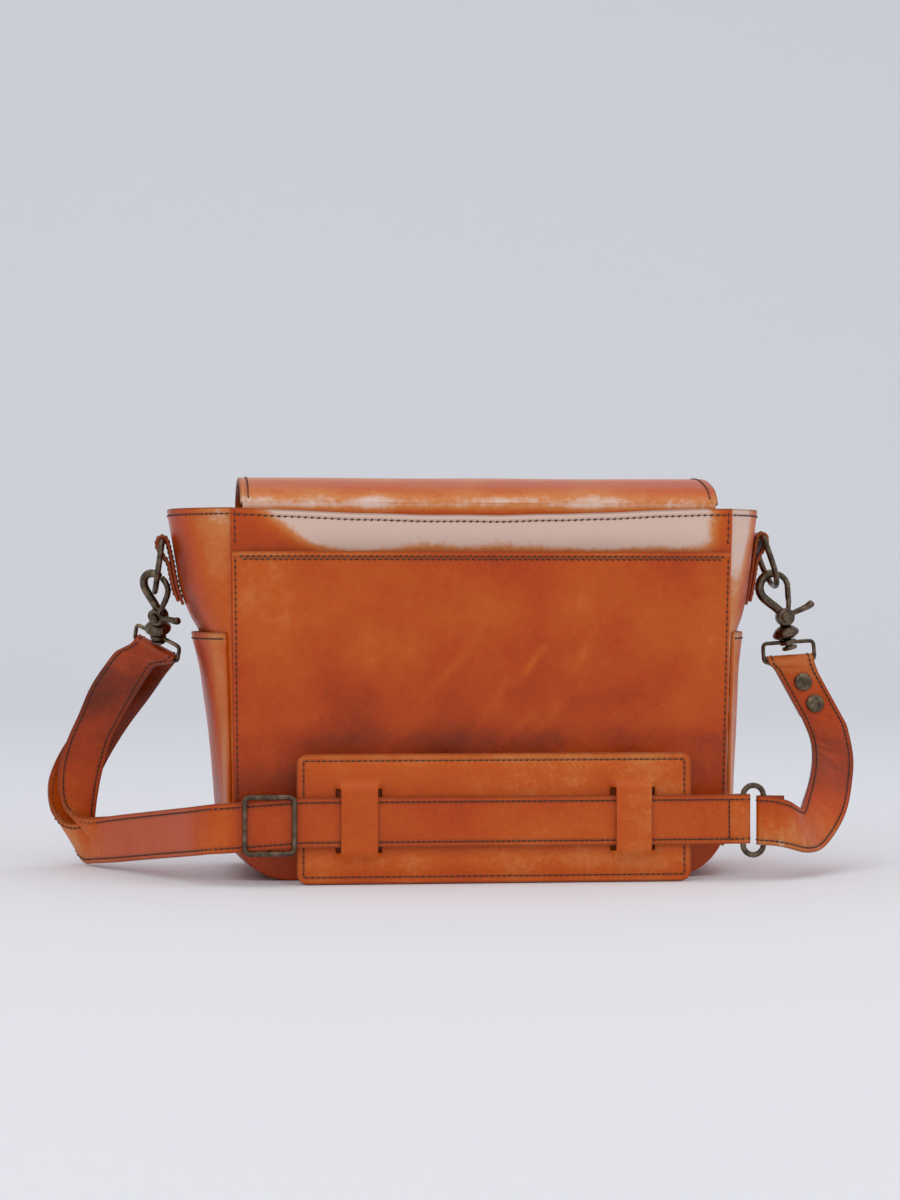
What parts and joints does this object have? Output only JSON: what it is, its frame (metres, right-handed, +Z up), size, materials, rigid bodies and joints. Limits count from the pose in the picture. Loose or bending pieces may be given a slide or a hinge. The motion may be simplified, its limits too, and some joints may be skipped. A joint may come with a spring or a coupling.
{
  "type": "camera bag",
  "caption": "Leather camera messenger bag with slip pockets, a fold-over flap, a padded insert and a hook-on shoulder strap with a slotted pad.",
  "frame": {"origin": "middle of the underside of the base panel", "axes": "+X along the bag, to the right as seen from behind; -Y out of the back face with the slip pocket; +Z up"},
  "size_m": [0.5156, 0.1761, 0.2501],
  "materials": {
    "tan_leather": "waxed full-grain leather, satin",
    "pad_leather": "waxed full-grain leather, lighter, satin",
    "antique_brass": "antique brass, rubbed at the edges",
    "insert_cloth": "brushed cloth over foam"
  },
  "bodies": {
    "bag": {"back_panel": "tan_leather", "back_pocket": "tan_leather", "front_panel": "tan_leather", "gusset_left": "tan_leather", "gusset_right": "tan_leather", "base_panel": "tan_leather", "side_pocket_left": "tan_leather", "side_pocket_right": "tan_leather", "rim_facing": "tan_leather", "flap_spine": "tan_leather", "insert_base": "insert_cloth", "insert_left": "insert_cloth", "insert_right": "insert_cloth", "insert_back": "insert_cloth", "insert_front": "insert_cloth", "ring_tab_left": "tan_leather", "ring_tab_right": "tan_leather", "snap_socket_left": "antique_brass", "snap_socket_right": "antique_brass"},
    "flap_top": {"flap_top": "tan_leather"},
    "flap_front": {"flap_front": "tan_leather"},
    "strap": {"shoulder_strap": "tan_leather", "short_strap": "tan_leather", "bail_left": "antique_brass", "bail_right": "antique_brass", "strap_rivet_upper": "antique_brass", "strap_rivet_lower": "antique_brass", "strap_ring": "antique_brass"},
    "slider": {"slider_frame": "antique_brass", "strap_end_loop": "tan_leather"},
    "pad": {"shoulder_pad_face": "pad_leather", "shoulder_pad_back": "pad_leather"},
    "closure_left": {"closure_strap_left": "tan_leather", "snap_stud_left": "antique_brass", "buckle_left": "antique_brass", "buckle_chape_left": "tan_leather"},
    "prong_left": {"prong_left": "antique_brass"},
    "d_ring_left": {"d_ring_left": "antique_brass"},
    "hook_left": {"hook_left": "antique_brass", "gate_pin_left": "antique_brass"},
    "gate_left": {"gate_left": "antique_brass"},
    "divider_left": {"divider_left": "insert_cloth"},
    "closure_right": {"closure_strap_right": "tan_leather", "snap_stud_right": "antique_brass", "buckle_right": "antique_brass", "buckle_chape_right": "tan_leather"},
    "prong_right": {"prong_right": "antique_brass"},
    "d_ring_right": {"d_ring_right": "antique_brass"},
    "hook_right": {"hook_right": "antique_brass", "gate_pin_right": "antique_brass"},
    "gate_right": {"gate_right": "antique_brass"},
    "divider_right": {"divider_right": "insert_cloth"}
  },
  "joints": [
    {"name": "flap_hinge", "type": "hinge", "parent": "bag", "child": "flap_top", "pos_m": [0, -0.0595, 0.2312], "axis": [1, 0, 0], "range_deg": [0, 135]},
    {"name": "flap_fold", "type": "hinge", "parent": "flap_top", "child": "flap_front", "pos_m": [0, 0.0655, 0.232], "axis": [1, 0, 0], "range_deg": [0, 85]},
    {"name": "closure_left_lift", "type": "hinge", "parent": "flap_front", "child": "closure_left", "pos_m": [-0.078, 0.0671, 0.16], "axis": [1, 0, 0], "range_deg": [0, 55]},
    {"name": "prong_left_lift", "type": "hinge", "parent": "closure_left", "child": "prong_left", "pos_m": [-0.078, 0.0734, 0.108], "axis": [1, 0, 0], "range_deg": [0, 60]},
    {"name": "closure_right_lift", "type": "hinge", "parent": "flap_front", "child": "closure_right", "pos_m": [0.078, 0.0671, 0.16], "axis": [1, 0, 0], "range_deg": [0, 55]},
    {"name": "prong_right_lift", "type": "hinge", "parent": "closure_right", "child": "prong_right", "pos_m": [0.078, 0.0734, 0.108], "axis": [1, 0, 0], "range_deg": [0, 60]},
    {"name": "ring_left_swing", "type": "hinge", "parent": "bag", "child": "d_ring_left", "pos_m": [-0.1966, 0, 0.209], "axis": [0, 1, 0], "range_deg": [-3, 0]},
    {"name": "ring_right_swing", "type": "hinge", "parent": "bag", "child": "d_ring_right", "pos_m": [0.1868, 0, 0.212], "axis": [0, 1, 0], "range_deg": [-3, 3]},
    {"name": "strap_swing", "type": "hinge", "parent": "bag", "child": "strap", "pos_m": [0, 0, 0.1945], "axis": [-1, 0, 0], "range_deg": [0, 8]},
    {"name": "hook_left_swivel", "type": "hinge", "parent": "strap", "child": "hook_left", "pos_m": [-0.19904, 0.01904, 0.14927], "axis": [-0.04, -0.5201, 0.8532], "range_deg": [-8, 0]},
    {"name": "gate_left_open", "type": "hinge", "parent": "hook_left", "child": "gate_left", "pos_m": [-0.19813, 0.0096, 0.16267], "axis": [0.568, 0.6906, 0.4476], "range_deg": [0, 1.5], "stiffness_Nm_per_rad": 0.03, "springref_deg": -17.19},
    {"name": "hook_right_swivel", "type": "hinge", "parent": "strap", "child": "hook_right", "pos_m": [0.20662, 0, 0.14469], "axis": [-0.2629, 0, 0.9648], "range_deg": [-20, 20]},
    {"name": "gate_right_open", "type": "hinge", "parent": "hook_right", "child": "gate_right", "pos_m": [0.20417, 0, 0.16091], "axis": [0, 1, 0], "range_deg": [0, 25], "stiffness_Nm_per_rad": 0.03, "springref_deg": -17.19},
    {"name": "slider_slide", "type": "slide", "parent": "strap", "child": "slider", "axis": [-0.9981, 0, -0.0619], "range_m": [0, 0.012]},
    {"name": "pad_slide", "type": "slide", "parent": "strap", "child": "pad", "axis": [1, 0, 0], "range_m": [0, 0.01]},
    {"name": "divider_left_slide", "type": "slide", "parent": "bag", "child": "divider_left", "axis": [1, 0, 0], "range_m": [-0.025, 0.025]},
    {"name": "divider_right_slide", "type": "slide", "parent": "bag", "child": "divider_right", "axis": [1, 0, 0], "range_m": [-0.025, 0.025]}
  ]
}
